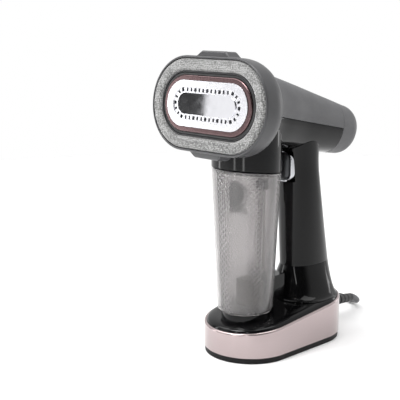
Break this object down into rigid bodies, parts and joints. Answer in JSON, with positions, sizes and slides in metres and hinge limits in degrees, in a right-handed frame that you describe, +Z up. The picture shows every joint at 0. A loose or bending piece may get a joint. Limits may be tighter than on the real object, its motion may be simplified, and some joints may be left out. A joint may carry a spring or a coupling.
{
  "type": "garment steamer",
  "caption": "Upright hand-held garment steamer with a padded oval steam head, a clear water tank in front of the grip, a stadium base and a mains cord.",
  "frame": {"origin": "centre of the base underside, on the table", "axes": "-Y the way the steaming face looks, +X the steamer's side seen on the right from the front-right, +Z up"},
  "size_m": [0.2494, 0.3409, 0.2812],
  "materials": {
    "foot_plastic": "matt moulded",
    "foot_rubber": "matt",
    "screw_steel": "bright",
    "band_metallic": "metallic satin lacquer",
    "gloss_black": "high gloss",
    "matte_dark": "matt",
    "cover_grey": "fine satin",
    "collar_dark": "satin",
    "gasket_rubber": "matt",
    "trim_rose": "satin metallic",
    "plate_steel": "fine satin",
    "panel_steel": "mirror",
    "chamber_aluminium": "as cast",
    "brass_part": "plain",
    "ring_grey": "satin",
    "pad_felt": "textured cloth",
    "tank_clear": "smoked translucent plastic",
    "tank_trim": "satin",
    "tube_clear": "translucent",
    "filter_grey": "matt",
    "seal_rubber": "matt",
    "trigger_grey": "satin",
    "bezel_chrome": "bright plated",
    "switch_red": "matt",
    "button_silver": "satin silver",
    "light_lens": "clear",
    "board_green": "lacquered",
    "pump_cream": "matt",
    "pump_steel": "plain",
    "hose_silicone": "translucent",
    "relief_rubber": "matt",
    "cord_grey": "matt",
    "pin_brass": "nickel plated"
  },
  "bodies": {
    "housing": {"base_plate": "foot_plastic", "foot_pads": "foot_rubber", "base_screws": "screw_steel", "base_band": "band_metallic", "base_deck": "gloss_black", "tank_seat": "gloss_black", "skirt": "gloss_black", "grip_left": "gloss_black", "grip_right": "gloss_black", "dock": "gloss_black", "neck": "gloss_black", "neck_floor": "matte_dark", "barrel_cover": "cover_grey", "barrel_lower": "gloss_black", "barrel_cap": "cover_grey", "head_collar": "collar_dark", "plate_gasket": "gasket_rubber", "trim_ring": "trim_rose", "steam_plate": "plate_steel", "plate_panel": "panel_steel", "steam_chamber": "chamber_aluminium", "chamber_cover": "chamber_aluminium", "chamber_screws": "screw_steel", "thermostat": "brass_part", "thermal_fuse": "screw_steel", "spigot": "matte_dark", "spigot_seal": "seal_rubber", "trigger_trim": "bezel_chrome", "trigger_spring": "screw_steel", "switch_body": "matte_dark", "button_light": "light_lens", "control_board": "board_green", "board_parts": "matte_dark", "pump_body": "pump_cream", "pump_coil": "pump_steel", "pump_mounts": "foot_rubber", "suction_hose": "hose_silicone", "pressure_hose": "hose_silicone", "strain_relief": "relief_rubber", "cord_clamp": "matte_dark", "clamp_screws": "screw_steel", "power_cord": "cord_grey", "cord_coil": "cord_grey", "cord_tie": "relief_rubber", "plug_body": "relief_rubber", "plug_pins": "pin_brass"},
    "pad_ring": {"ring_frame": "ring_grey", "ring_pad": "pad_felt"},
    "tank": {"tank_shell": "tank_clear", "tank_lid": "tank_trim", "outlet_valve": "tank_trim", "vent_valve": "tank_trim", "vent_tube": "tube_clear", "tank_filter": "filter_grey", "flap_pin": "screw_steel"},
    "flap": {"filler_flap": "tank_trim", "flap_seal": "seal_rubber"},
    "trigger_body": {"trigger": "trigger_grey"},
    "plunger_body": {"switch_plunger": "switch_red"},
    "button_body": {"power_button": "button_silver"}
  },
  "joints": [
    {"name": "ring_pull", "type": "slide", "parent": "housing", "child": "pad_ring", "axis": [0, -0.9947, 0.1028], "range_m": [0, 0.04]},
    {"name": "tank_draw", "type": "slide", "parent": "housing", "child": "tank", "axis": [0, -1, 0], "range_m": [0, 0.085]},
    {"name": "flap_hinge", "type": "hinge", "parent": "tank", "child": "flap", "pos_m": [-0.0314, -0.02496, 0.1278], "axis": [-0.4226, -0.9063, 0], "range_deg": [0, 95]},
    {"name": "trigger_pull", "type": "slide", "parent": "housing", "child": "trigger_body", "axis": [0, 1, 0], "range_m": [0, 0.0045], "stiffness_N_per_m": 700, "springref_m": -0.003, "deforming": ["trigger_spring"]},
    {"name": "plunger_press", "type": "slide", "parent": "housing", "child": "plunger_body", "axis": [0, 1, 0], "range_m": [0, 0.0045]},
    {"name": "button_press", "type": "slide", "parent": "housing", "child": "button_body", "axis": [1, 0, 0], "range_m": [0, 0.002], "stiffness_N_per_m": 500, "springref_m": -0.002}
  ],
  "couplings": [
    {"joint": "plunger_press", "follows": "trigger_pull", "ratio": 1}
  ]
}
